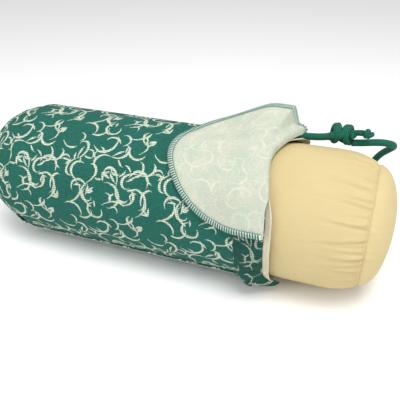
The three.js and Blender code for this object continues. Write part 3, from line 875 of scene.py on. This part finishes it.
def pillow_case(surface):
    """The inner pillow's side panel and two end panels."""
    pieces = []
    xs = stations((-HALF_LENGTH, -HALF_LENGTH + 12, 8), (-HALF_LENGTH + 12, 96, 40), (96, 150, 40),
                  (150, HALF_LENGTH - 12, 36), (HALF_LENGTH - 12, HALF_LENGTH, 20))
    radii = side_grid(surface, np.clip(xs, -HALF_LENGTH + 1, HALF_LENGTH - 1), ANGLES)
    x, angle = grid(xs, ANGLES)
    arc = np.radians(angle) * SEAM_RADIUS
    away = HALF_LENGTH - np.abs(x)
    ring = math.tau * SEAM_RADIUS
    radii = np.minimum(radii, PILLOW_RADIUS + 0.4) - squeezed(x, angle) + seam_pinch(away)
    radii = radii + 0.5 * ripple(x, arc, 3, 60) * smooth(away, 5, 60)
    near = x > 0
    radii = radii + np.where(near, gathers(arc, away, 11, 58, ring, 2.4, 34),
                             gathers(arc, away, 12, 58, ring, 2.0, 30))
    points = floored(polar(x, angle, radii), 1.6)
    cloth = np.stack([x, np.radians(angle) * PILLOW_RADIUS], -1)
    side_panel = cloth_piece("pillow_side", points, cloth, CALICO, 0.8, wrap=True)
    pieces.append((side_panel, "pillow_side_panel"))
    for name, side in (("near", 1), ("far", -1)):
        centre = side * (HALF_LENGTH - 40)
        rim = math.degrees(math.atan2(40, SEAM_RADIUS))
        leans = end_leans(rim)
        far = end_grid(surface, centre, side, leans, ANGLES)
        lean, angle = grid(leans, ANGLES)
        away = np.radians(lean - rim) * far
        arc = np.radians(angle) * SEAM_RADIUS
        far = far + seam_pinch(away) + 0.5 * gathers(arc, away, 20 + side, 46, ring, 1.2, 14)
        far = far + 0.4 * ripple(far * np.cos(np.radians(lean)) * np.cos(np.radians(angle)),
                                 far * np.cos(np.radians(lean)) * np.sin(np.radians(angle)), 5,
                                 45) * smooth(away, 4, 20)
        across = far * np.cos(np.radians(lean))
        points = floored(polar(centre + side * far * np.sin(np.radians(lean)) + side * 0.25, angle, across),
                         1.6)
        cloth = np.stack([across * np.cos(np.radians(angle)), across * np.sin(np.radians(angle))], -1)
        pieces.append((cloth_piece(f"pillow_{name}_end", points, cloth, CALICO, 0.8, wrap=True, cap=True,
                                   flip=side < 0), f"pillow_{name}_end_panel"))
    for piece, stands_for in pieces:
        declare(piece, "inner_pillow", "calico", stands_for)
    return side_panel


def stitches(name, places, outward, along, length, radius, thread_material):
    """Short rounded stitches, each at a place, lying along a direction and sunk at both ends."""
    paths = []
    for p, n, a in zip(places, outward, along):
        ends = [p - a * length / 2 - n * 0.5, p - a * length / 4 + n * 0.3, p + n * 0.42,
                p + a * length / 4 + n * 0.3, p + a * length / 2 - n * 0.5]
        paths.append(np.array(ends))
    return tubes(name, paths, radius, thread_material, rounded=True)


def seam_stitches(name, piece, x_inside, thread_material, body, stands_for, slot_name):
    """A ring of fine stitches on a panel, a little inside its end seam."""
    mesh = piece.data
    points = np.array([v.co for v in mesh.vertices]) / MM
    normals = np.array([v.normal for v in mesh.vertices])
    half = len(points) // 2
    columns = len(ANGLES) - 1
    rows = half // columns
    outer = points[:half].reshape(rows, columns, 3)
    facing = normals[:half].reshape(rows, columns, 3)
    row = int(np.argmin(np.abs(outer[:, columns // 2, 0] - x_inside)))
    pitch = 2.4
    count = round(math.tau * SEAM_RADIUS / pitch)
    places, outward, along = [], [], []
    for k in range(count):
        column = round(k * columns / count) % columns
        places.append(outer[row, column])
        outward.append(facing[row, column])
        next_one = outer[row, (column + 1) % columns] - outer[row, column - 1]
        along.append(next_one / np.linalg.norm(next_one))
    made = stitches(name, places, outward, along, 1.7, 0.28, thread_material)
    declare(made, body, slot_name, stands_for)


def filling():
    """The fibre that fills the inner pillow, lumpy, just inside its case."""
    xs = stations((-HALF_LENGTH - DOME + 7, -HALF_LENGTH, 12), (-HALF_LENGTH, HALF_LENGTH, 80),
                  (HALF_LENGTH, HALF_LENGTH + DOME - 7, 12))
    x, angle = grid(xs, ANGLES[::4])
    inside = roll_radius(np.clip(x, -HALF_LENGTH, HALF_LENGTH), PILLOW_RADIUS, SEAM_RADIUS) - 7
    past = np.clip((np.abs(x) - HALF_LENGTH) / (DOME - 6), 0, 1)
    radii = inside * np.sqrt(1 - past**2 * 0.98) + 1.2 * ripple(x, angle, 8, 22)
    radii = radii - squeezed(x, angle)
    points = floored(polar(x, angle, np.maximum(radii, 2)), 8.5)
    rows, columns = x.shape
    kept = columns - 1
    faces = [[i * kept + j, (i + 1) * kept + j, (i + 1) * kept + (j + 1) % kept, i * kept + (j + 1) % kept]
             for i in range(rows - 1) for j in range(kept)]
    faces += [list(range(kept)), [(rows - 1) * kept + j for j in range(kept)][::-1]]
    made = new_object("fibre_filling", points[:, :kept].reshape(-1, 3), faces, None, FIBRE)
    declare(made, "inner_pillow", "filling", "pillow_filling")


pillow_surface = blown_up(PILLOW_RADIUS, SEAM_RADIUS, HALF_LENGTH, 4.0)
pillow_side = pillow_case(pillow_surface)
seam_stitches("near_seam_stitches", pillow_side, HALF_LENGTH - 2.6, CREAM_THREAD, "inner_pillow",
              "pillow_near_seam_thread", "thread")
seam_stitches("far_seam_stitches", pillow_side, -HALF_LENGTH + 2.6, CREAM_THREAD, "inner_pillow",
              "pillow_far_seam_thread", "thread")
filling()


# --- The cover --------------------------------------------------------------------------------

def cover_body(surface):
    """The printed side panel and end panel."""
    xs = stations((COVER_END, COVER_END + 14, 12), (COVER_END + 14, 40, 80), (40, CASING_BACK - 0.3, 24))
    seam_angles = SEAM_ANGLE + np.linspace(0, 360, 361)
    radii = side_grid(surface, np.clip(xs + 2, -HALF_LENGTH + 1, HALF_LENGTH - 1), seam_angles)
    x, angle = grid(xs, seam_angles)
    arc = np.radians(angle) * COVER_RADIUS
    away = x - COVER_END
    ring = math.tau * SEAM_RADIUS
    radii = np.minimum(radii + 1.9, COVER_RADIUS + 0.6) + seam_pinch(away)
    radii = radii + 0.55 * ripple(x, arc, 7, 55) * smooth(away, 5, 60) * (1 - smooth(x, 50, 84))
    radii = radii + gathers(arc, away, 31, 40, ring, 1.4, 26)
    radii = radii + 0.7 * ripple(x * 0.25, arc, 9, 11) * smooth(x, 55, 80)
    radii = np.maximum(radii, np.where(away > 30, COVER_RADIUS - 0.9, 0))
    rise = 8.2 * smooth(x, 56, 84)
    points = polar(with_mouth(x, angle), angle, radii)
    points[..., 2] = np.maximum(points[..., 2], floored(points, 0.3)[..., 2])
    points[..., 2] = np.maximum(points[..., 2], 0.3 + rise)
    cloth = np.stack([x, arc], -1)
    side = cloth_piece("cover_side", points, cloth, PRINT, 0.9, wrap=True, inside=REVERSE)

    centre = -(HALF_LENGTH - 40)
    rim = math.degrees(math.atan2(42, SEAM_RADIUS + 2))
    leans = end_leans(rim)
    far = end_grid(surface, centre, -1, leans, ANGLES) + 2.2
    lean, angle = grid(leans, ANGLES)
    away = np.radians(lean - rim) * far
    far = far + seam_pinch(away) + 0.5 * gathers(np.radians(angle) * SEAM_RADIUS, away, 41, 40, ring, 1.2,
                                                 14)
    across = far * np.cos(np.radians(lean))
    points = floored(polar(centre - far * np.sin(np.radians(lean)), angle, across), 0.3)
    cloth = np.stack([across * np.cos(np.radians(angle)), across * np.sin(np.radians(angle))], -1)
    end = cloth_piece("cover_end", points, cloth, PRINT, 0.9, wrap=True, cap=True, flip=True,
                      inside=REVERSE)
    for piece, stands_for in ((side, "cover_side_panel"), (end, "cover_end_panel")):
        declare(piece, "cover", "print", stands_for)
    return side


def cover_seam():
    """The side panel's long seam: a narrow felled strip with a row of stitches on each side."""
    along = stations((-196, 82, 140))
    across = np.array([-4.4, -3.6, -2.4, -1.2, 0, 1.2, 2.4, 3.6, 4.4])
    x, off = grid(along, across)
    lift = 1.15 - 0.9 * (np.abs(off) / 4.4) ** 6 + 0.15 * np.sin(x * 2.1 + off)
    radius = np.where(x < -160, roll_radius(x + 2, COVER_RADIUS, SEAM_RADIUS + 2), COVER_RADIUS) + lift
    angle = SEAM_ANGLE + np.degrees(off / COVER_RADIUS)
    points = polar(with_mouth(x, angle), angle, radius)
    made = cloth_piece("cover_long_seam", points, np.stack([x + 37, off + 11], -1), PRINT, 0.8)
    declare(made, "cover", "print", "cover_side_seam")
    places, outward, headings = [], [], []
    for side in (-2.6, 2.6):
        for x in np.arange(-192, 80, 2.8):
            angle = SEAM_ANGLE + math.degrees(side / COVER_RADIUS)
            here = float(roll_radius(min(x + 2, 0), COVER_RADIUS, SEAM_RADIUS + 2)) + 1.1
            places.append(polar(float(with_mouth(x, angle)), angle, here))
            outward.append(outward_at(angle))
            headings.append(np.array([1.0, 0, 0]))
    thread_rows = stitches("long_seam_stitches", places, outward, headings, 1.9, 0.28, PALE_THREAD)
    declare(thread_rows, "cover", "overlock")


cover_side = cover_body(pillow_surface)
cover_seam()
seam_stitches("cover_end_stitches", cover_side, COVER_END + 2.6, PALE_THREAD, "cover",
              "cover_end_seam_thread", "overlock")


# --- The mouth: casing, facing and outlet -----------------------------------------------------

def casing_bulge(angle):
    """How far the casing's ridge stands off, loosest at the lower front."""
    return (CASING_RIDGE - 75.4) + 5.4 * bump(angle, -46, 24) + 0.8 * bump(angle, 150, 40)


def casing_front(angle):
    """The casing's front edge. A tongue of its hem shows on the floor at the lower front."""
    return CASING_FRONT + 34 * bump(angle, -57, 10)


def casing():
    shares = np.concatenate([np.linspace(-0.06, 0.08, 7)[:-1], np.linspace(0.08, 0.92, 26),
                             np.linspace(0.92, 1.0, 6)[1:]])
    angles = SEAM_ANGLE + np.linspace(0, 360, 481)
    share, angle = grid(shares, angles)
    arc = np.radians(angle) * COVER_RADIUS
    t = np.clip(share, 0, 1)
    x = CASING_BACK + share * (casing_front(angle) - CASING_BACK)
    swell = np.sin(np.pi * t) ** 0.72
    tone = ripple(arc, share * 6, 17, 9, 7)
    bare = 1 - smooth(angle, 2, 18) * (1 - smooth(angle, 112, 130))
    pleats = tone * (0.3 + 1.1 * bare) + 2.6 * ripple(arc + share * 22, share * 5, 19,
                                                      24) * bump(angle, -46, 34)
    pleats = pleats - 1.6 * bare * bump(share, 0.12, 0.1) * np.abs(np.sin(arc / 3.1 + 0.8 * tone))
    radius = 74.9 + casing_bulge(angle) * swell + pleats * swell
    radius = radius - 0.4 * smooth(t, 0.9, 1.0) - 2.2 * smooth(-share, 0, 0.06)
    points = polar(with_mouth(x, angle), angle, radius)
    points = floored(points, 0.4, 1.6)
    cloth = np.stack([share * 38 + 40, arc * 1.06 + 31], -1)
    # The casing wears the darker copy of the print, which is painted shade.
    made = cloth_piece("drawstring_casing_cloth", points, cloth, SHADED_PRINT, 1.0, wrap=True,
                       inside=REVERSE)
    declare(made, "cover", "print", "drawstring_casing")


def facing():
    """The pale strip that lines the mouth. It comes out from under the casing and hugs the pillow."""
    share, angle = grid(np.linspace(0, 1, 14), np.linspace(-180, 180, 421))
    arc = np.radians(angle) * PILLOW_RADIUS
    x = 104.5 + share * (FACING_EDGE - 104.5 - 7 * smooth(angle, 18, 62) * (1 - smooth(angle, 88, 102)))
    radius = 73.0 + 1.2 * smooth(share, 0.35, 0.75) + 0.45 * ripple(arc, share, 23, 30) * share
    radius = radius + 0.9 * np.exp(-(((share - 0.93) / 0.07) ** 2)) + 1.5 * bump(angle, -10, 50) * share
    points = floored(polar(with_mouth(x, angle), angle, radius), 2.3, 1.5)
    made = cloth_piece("mouth_facing_cloth", points, np.stack([x, arc], -1), FACING, 1.0, wrap=True)
    declare(made, "cover", "reverse", "mouth_facing")


casing()
facing()


# --- The flap ---------------------------------------------------------------------------------

def flap_angle(t):
    return FLAP_ANGLE + np.degrees(np.asarray(t, float) / FLAP_BASE_RADIUS)


def flap_base(t):
    return CASING_FRONT - 1 + mouth_shift(flap_angle(t)) * 0.98


def flap_place(s, t, up=0.0):
    """Where the folded-back flap lies, from distances behind its base and across it.

    Before its base (s below 0) it rolls over the mouth's rim and down to the inner pillow.
    """
    s, t = np.broadcast_arrays(np.asarray(s, float), np.asarray(t, float))
    rolled = np.clip(-s / RIM_ROUND, 0, np.pi / 2)
    down = np.maximum(-s - RIM_ROUND * np.pi / 2, 0)
    s = np.maximum(s, 0)
    drop = (FLAP_BASE_RADIUS - FLAP_REST_RADIUS) * smooth(s, 22, 48)
    rise = FLAP_RISE * smooth(t, 28, FLAP_HALF_WIDTH)
    radius = FLAP_BASE_RADIUS - drop + rise + up + 0.5
    radius = radius + 0.7 * ripple(s, t, 51, 38) * smooth(s, 2, 30)
    radius = radius - (RIM_ROUND + up) * (1 - np.cos(rolled)) - down
    forward = (RIM_ROUND + up) * np.sin(rolled) + 0.8 * ripple(t, down, 53, 30) * smooth(rolled, 0.3, 1.5)
    leaves = FLAP_HALF_WIDTH - (FLAP_HALF_WIDTH - 15) * smooth(s, 0, 9) + 26 * smooth(s, 30, 98)
    past = t - leaves
    straight = 6 * np.logaddexp(0, past / 6)
    round_part = t - straight
    angle = flap_angle(round_part)
    points = polar(flap_base(t) - s + forward, angle, radius)
    points[..., 1] += straight * np.sin(np.radians(angle))
    points[..., 2] += straight * np.cos(np.radians(angle))
    return points


def rim_length(t):
    """How far the flap runs down over the rim. Its lower end comes out from behind the facing."""
    return 1.5 + 9.5 * smooth(t, -50, -18)


def flap_outline(share):
    """The flap's edge from its lower base corner round the tip to its upper one, as (s, t, turn, side)."""
    side = np.where(share < 0.5, -1.0, 1.0)
    along = 2 * np.minimum(share, 1 - share)
    straight = 0.2
    turn = np.maximum(0, (np.pi / 2) * (along - straight) / (1 - straight))
    first = np.where(share < 0.5, 0, -OVERLOCK_FROM)
    s = np.where(along < straight, first + (FLAP_STRAIGHT - first) * along / straight,
                 FLAP_STRAIGHT + (FLAP_LENGTH - FLAP_STRAIGHT) * np.sin(turn) ** (2 / TIP_POWER))
    return s, side * FLAP_HALF_WIDTH * np.cos(turn), turn, side


def flap():
    """The flap's cloth, from its rolled base to its edge."""
    rows, columns = stations((-1, 0, 14), (0, 1, 63)), np.linspace(-1, 1, 121)
    row, column = grid(rows, columns)
    reach_s = FLAP_STRAIGHT + (FLAP_LENGTH - FLAP_STRAIGHT) * np.maximum(1 - np.abs(column) ** 2, 0) ** (1 / TIP_POWER)
    t = column * FLAP_HALF_WIDTH
    s = np.where(row < 0, row * rim_length(t), row * (reach_s - 0.6))
    points = flap_place(s, t)
    cloth = np.stack([s + 20, t + 60], -1)
    return cloth_piece("flap_cloth", points, cloth, REVERSE, 1.1, flip=True, inside=PRINT)


flap_cloth = flap()
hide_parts("flap_panel", "flap_base")
FOLD_START, FOLD_END = ((FLAP_FOLD + 6) * MM, 0, 0), ((FLAP_FOLD - 12) * MM, 0, 0)
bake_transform(flap_cloth)
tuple(FOLD_START)
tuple(FOLD_END)


def overlock():
    """The flap's overlock edging: slanting loops over a padded edge, and a chain along its inner side."""
    width, pitch = 5.0, 2.5
    shares = np.linspace(0, 1, 1201)
    s, t, _, _ = flap_outline(shares)
    edge = flap_place(s, t)
    length = np.concatenate([[0], np.cumsum(np.linalg.norm(np.diff(edge, axis=0), axis=1))])

    def at(mark, inward, up):
        k = np.interp(mark, length, shares)
        a, b, c, d = flap_outline(k)
        return flap_place(a - inward * np.sin(c), b - d * inward * np.cos(c), up)

    marks = np.linspace(0, length[-1], 300)
    band_rows = [(5.0, 0.15), (4.2, 0.5), (2.6, 0.75), (1.0, 0.65), (0, 0.1), (-0.35, -0.6), (0, -1.2)]
    band = np.array([[at(m, inward, up) for m in marks] for inward, up in band_rows])
    cloth = np.array([[(m, 5 - inward) for m in marks] for inward, _ in band_rows])
    edging = cloth_piece("flap_edge_band", band, cloth, PALE_THREAD, 0.5)
    pieces = [edging]
    green, pale = [], []
    for k, mark in enumerate(np.arange(1.2, length[-1] - 1.2, pitch / 2)):
        loop = [at(mark + 0.7, width - 0.1, 0.55), at(mark + 0.5, width * 0.6, 1.05),
                at(mark + 0.2, width * 0.25, 1.0),
                at(mark, -0.35, 0.4), at(mark - 0.1, -0.5, -0.7), at(mark - 0.2, 1.2, -1.45)]
        (green if k % 2 else pale).append(np.array(loop))
    pieces.append(tubes("overlock_green_loops", green, 0.8, GREEN_THREAD, rounded=True))
    pieces.append(tubes("overlock_pale_loops", pale, 0.42, PALE_THREAD, rounded=True))
    chain = [np.array([at(m + 0.05, width - 0.4, 0.85), at(m + 0.9, width + 0.15, 1.0),
                       at(m + 1.75, width - 0.4, 0.85)])
             for m in np.arange(0.5, length[-1] - 2, 1.7)]
    pieces.append(tubes("overlock_chain", chain, 0.42, GREEN_THREAD, rounded=True))
    for piece in pieces:
        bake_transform(piece)
        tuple(FOLD_START)
        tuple(FOLD_END)
    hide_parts("flap_overlock")


overlock()


# --- The drawstring ---------------------------------------------------------------------------

RING_X, RING_RADIUS = 98, 75.4


def ring_place(angle):
    """The drawstring inside the casing. It follows the floor underneath."""
    point = polar(float(with_mouth(RING_X, angle)), angle, RING_RADIUS)
    point[2] = max(point[2], 5.2)
    return point


def drawstring_loop():
    into = [(153, 114, 83), (147, 113, 80.2), (139, 112.2, 78.6), (128, 111.2, 77.6), (116.5, 109.2, 76.8),
            (108.5, 104, 75.8)]
    out = [(108.5, 128.5, 75.8), (116.5, 123, 76.8), (128, 119.4, 77.6), (139, 118.2, 78.6),
           (147, 118, 80.2), (153, 118.6, 83)]
    ring = [ring_place(a if a > -180 else a + 360) for a in np.linspace(94, 94 - 315, 43)]
    points = [polar(*p) for p in into] + ring + [polar(*p) for p in out]
    path = through(points, 2.0)
    vertices, faces, flat = swept(path, CORD / 2 - 0.1, 14)
    made = new_object("drawstring_loop_cord", vertices, faces, flat, BRAID)
    declare(made, "cover", "cord", "drawstring_loop")


def knot_frame():
    """The knot's centre and its directions: along the roll, away from it and round it."""
    centre = polar(160, 117, 84.5)
    outward = outward_at(117)
    along = np.array([1.0, 0, 0])
    return centre, along, outward, np.cross(along, outward)


def big_knot():
    """Both leads tied together: two fat wraps side by side, and one lead crossing over them."""
    centre, along, out, side = knot_frame()

    def at(a, o, s):
        return centre + along * a + out * o + side * s

    def wrap(middle, lean, begin, turns, size):
        path = []
        for k in range(int(turns * 14) + 1):
            angle = math.radians(begin + 360 * k / 14)
            shift = middle + lean * math.cos(angle) + 2.4 * (k / (turns * 14) - 0.5)
            path.append(at(shift, size * math.sin(angle), size * math.cos(angle)))
        return path

    first = through([at(-12, -5.5, 1.5), at(-10, -4, 6)] + wrap(-6.6, 2.4, -20, 1.35,
                                                                7.2) + [at(0, -3, -5), at(5, -4, -1)], 1.2)
    second = through([at(-7, -5, -3), at(-2, -3.5, 7)] + wrap(5.2, -2.2, 10, 1.3,
                                                              7.0) + [at(9, -1, 3), at(12, 1.4, 0)], 1.2)
    core = through([at(-11, -4.5, -1), at(-4, -0.5, 0), at(4, 0, 0), at(9, -2, 1)], 1.5)
    leaving = through([at(-2, -4, -1), at(3, -5.5, -2), at(7, -6.6, -2.8), at(10.7, -7.04, -3.1)], 1.2)
    made = tubes("drawstring_knot_cord", [first, second, core, leaving], CORD / 2 - 0.15, BRAID, sides=14,
                 rounded=True)
    declare(made, "cover", "cord", "drawstring_knot")


def short_tail():
    centre, along, out, side = knot_frame()
    start = centre + along * 9 + out * 2.0
    end = polar(183.6, 112.6, 87.6)
    path = through([start, start * 0.6 + end * 0.4 + out * 0.6, end - along * 4], 1.2)
    tail = tubes("short_tail_cord", [path], CORD / 2 - 0.5, BRAID, sides=14)
    knot = tubes("short_tail_stopper", [stopper(end, along, out, 3.0, path[-1])], 2.7, BRAID, sides=12,
                 rounded=True)
    for piece, stands_for in ((tail, "drawstring_short_tail"), (knot, "short_tail_knot")):
        declare(piece, "cover", "cord", stands_for)


def outlet_stitching():
    """Stitches all round the outlet, where the drawstring comes out of the casing's front."""
    angle = 116
    outward = outward_at(angle)
    along = np.array([1.0, 0, 0])
    facing_out, up = 0.8 * along + 0.6 * outward, 0.8 * outward - 0.6 * along
    across = np.cross(facing_out, up)
    centre = polar(float(with_mouth(CASING_FRONT - 1, angle)), angle, 77.4) + facing_out * 0.8
    places, headings = [], []
    for turn in np.linspace(0, math.tau, 30, endpoint=False):
        spoke = across * math.cos(turn) * 9.4 + up * math.sin(turn) * 4.8
        places.append(centre + spoke)
        headings.append(spoke / np.linalg.norm(spoke))
    made = stitches("outlet_stitches", places, [facing_out] * len(places), headings, 3.4, 0.6, PALE_THREAD)
    declare(made, "cover", "overlock", "outlet_bar_stitch")


drawstring_loop()
big_knot()
short_tail()
outlet_stitching()

low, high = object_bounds()
({"cad": [list(map(float, p)) for p in CAD_BOX],
           "visual": [list(map(float, p)) for p in (low, high)]})
